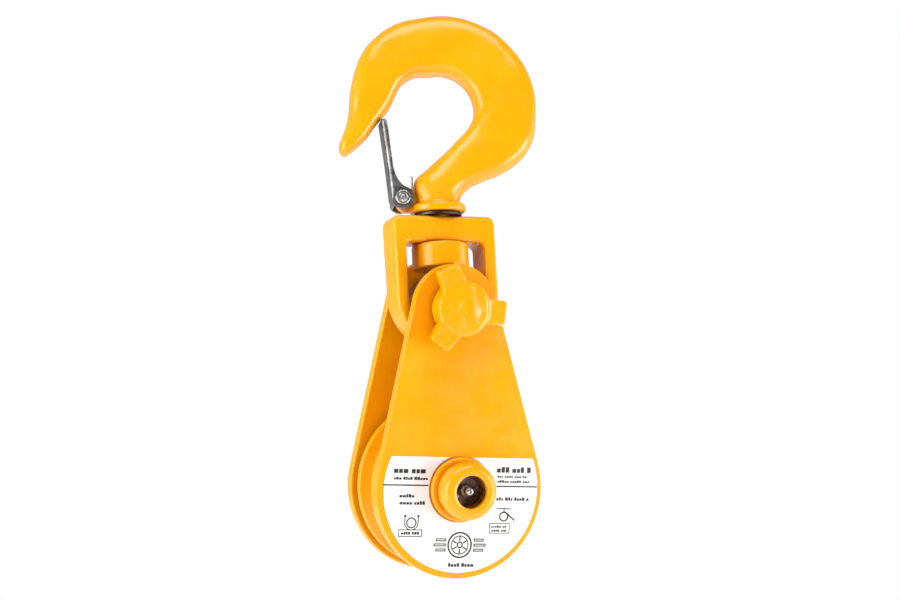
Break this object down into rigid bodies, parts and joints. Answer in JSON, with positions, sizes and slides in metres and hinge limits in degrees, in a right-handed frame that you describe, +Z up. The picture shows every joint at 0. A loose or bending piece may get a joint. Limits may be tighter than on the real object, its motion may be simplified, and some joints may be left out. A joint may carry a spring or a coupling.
{
  "type": "snatch block with swivel latch hook",
  "caption": "Single-sheave snatch block with a swing-open side plate, three-armed locking knob, swivel yoke and latched hook, painted yellow.",
  "frame": {"origin": "saddle of the hook, at the top of the bowl, midway through its thickness", "axes": "+Z up along the plumb side plates, -Y to the side with the knob and label, +X to the side the hook's back lies on"},
  "size_m": [0.1213, 0.0922, 0.3366],
  "materials": {
    "hook_paint": "glossy enamel over a forging",
    "yoke_paint": "glossy enamel over a forging",
    "plate_paint": "glossy enamel over plate",
    "hub_paint": "glossy enamel",
    "axle_paint": "glossy enamel, dark in the recess",
    "sheave_paint": "glossy enamel, worn in the groove",
    "knob_paint": "glossy enamel over a casting",
    "nut_paint": "glossy enamel",
    "latch_steel": "dull zinc plate",
    "zinc": "bright zinc plate",
    "spring_steel": "bright wire",
    "turned_steel": "turned and oiled",
    "bronze": "bearing bronze",
    "label": "white vinyl with black print"
  },
  "bodies": {
    "hook": {"hook": "hook_paint", "hook_nut": "nut_paint", "hook_nut_pin": "zinc", "latch_rivet": "zinc", "latch_spring": "spring_steel"},
    "latch": {"safety_latch": "latch_steel"},
    "yoke": {"swivel_yoke": "yoke_paint", "thrust_washer": "turned_steel"},
    "pin_sleeve": {"pin_sleeve": "turned_steel"},
    "frame": {"rear_side_plate": "plate_paint", "rear_hub_ring": "hub_paint", "top_pin": "turned_steel", "rear_pin_washer": "nut_paint", "rear_pin_nut": "nut_paint", "axle": "axle_paint", "grease_nipple": "zinc", "rear_axle_nut": "nut_paint", "axle_split_pin": "zinc", "front_side_washer": "turned_steel", "rear_side_washer": "turned_steel"},
    "sheave": {"sheave": "sheave_paint", "bronze_bushing": "bronze"},
    "front_plate": {"front_side_plate": "plate_paint", "front_hub_ring": "hub_paint", "front_label": "label"},
    "knob_washer": {"knob_washer": "knob_paint"},
    "knob": {"wing_knob": "knob_paint"}
  },
  "joints": [
    {"name": "hook_swivel", "type": "hinge", "parent": "hook", "child": "yoke", "pos_m": [-0.01088, -0.02987, -0.13907], "axis": [0.0477, 0.2164, 0.9751], "continuous": true},
    {"name": "latch_pivot", "type": "hinge", "parent": "hook", "child": "latch", "pos_m": [-0.02883, -0.01053, -0.07511], "axis": [0.2314, 0.9473, -0.2216], "range_deg": [0, 45], "stiffness_Nm_per_rad": 0.05, "springref_deg": -34.38},
    {"name": "yoke_rock", "type": "hinge", "parent": "yoke", "child": "pin_sleeve", "pos_m": [-0.0098, -0.02607, -0.1169], "axis": [0.9988, 0, -0.0489], "range_deg": [-25, 1]},
    {"name": "block_swing", "type": "hinge", "parent": "pin_sleeve", "child": "frame", "pos_m": [-0.01088, -0.02507, -0.13907], "axis": [0, 1, 0], "range_deg": [-75, 75]},
    {"name": "sheave_spin", "type": "hinge", "parent": "frame", "child": "sheave", "pos_m": [-0.01088, -0.02507, -0.24697], "axis": [0, 1, 0], "continuous": true},
    {"name": "side_plate_swing", "type": "hinge", "parent": "frame", "child": "front_plate", "pos_m": [-0.01088, -0.02507, -0.24697], "axis": [0, -1, 0], "range_deg": [0, 120]},
    {"name": "knob_travel", "type": "slide", "parent": "frame", "child": "knob_washer", "axis": [0, -1, 0], "range_m": [0, 0.004]},
    {"name": "knob_turn", "type": "hinge", "parent": "knob_washer", "child": "knob", "pos_m": [-0.01088, -0.02507, -0.13907], "axis": [0, -1, 0], "range_deg": [0, 720]}
  ],
  "couplings": [
    {"joint": "knob_travel", "follows": "knob_turn", "m_per_rad": 0.00031831}
  ]
}
